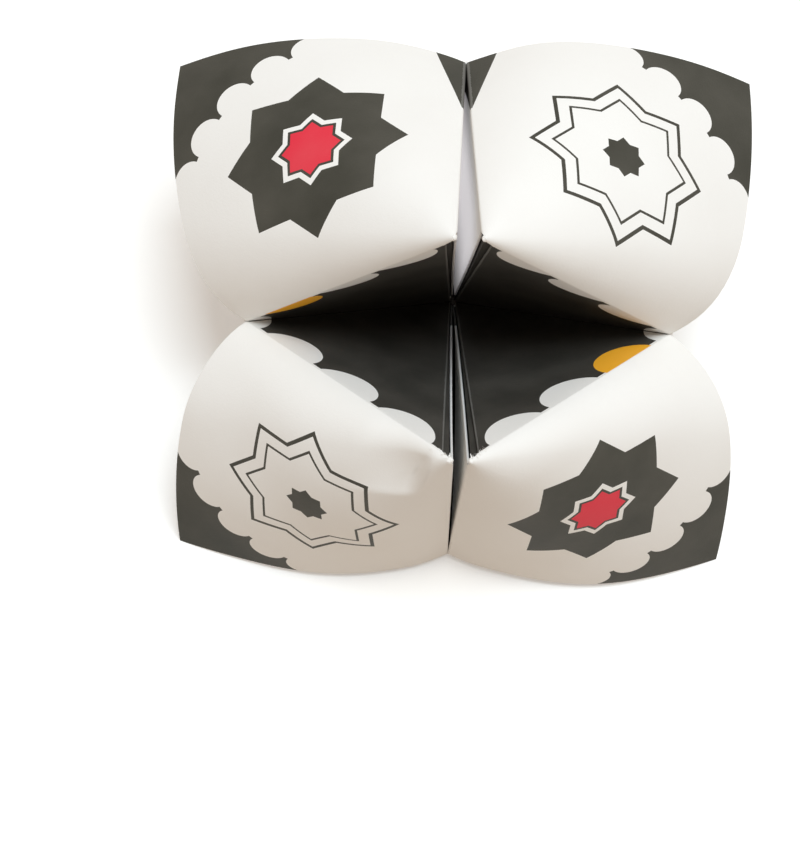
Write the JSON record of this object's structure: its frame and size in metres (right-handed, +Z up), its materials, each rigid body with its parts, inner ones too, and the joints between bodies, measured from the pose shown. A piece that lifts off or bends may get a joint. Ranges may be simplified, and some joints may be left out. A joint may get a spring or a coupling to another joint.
{
  "type": "paper fortune teller",
  "caption": "Folded square paper fortune teller, opened into pointed finger pockets round a mouth, printed with plain fields and shapes.",
  "frame": {"origin": "centre of the bounding box on the table, where the part lies on its middle point and two free corners", "axes": "+Z up from the table, +X to the right looking into the mouth, -Y the way the mouth leans"},
  "size_m": [0.1022, 0.0842, 0.0719],
  "materials": {
    "paper": "matt white paper of about 160 g, printed in charcoal, red and yellow on one side"
  },
  "bodies": {
    "root": {"fortune_teller": "paper"}
  },
  "joints": []
}
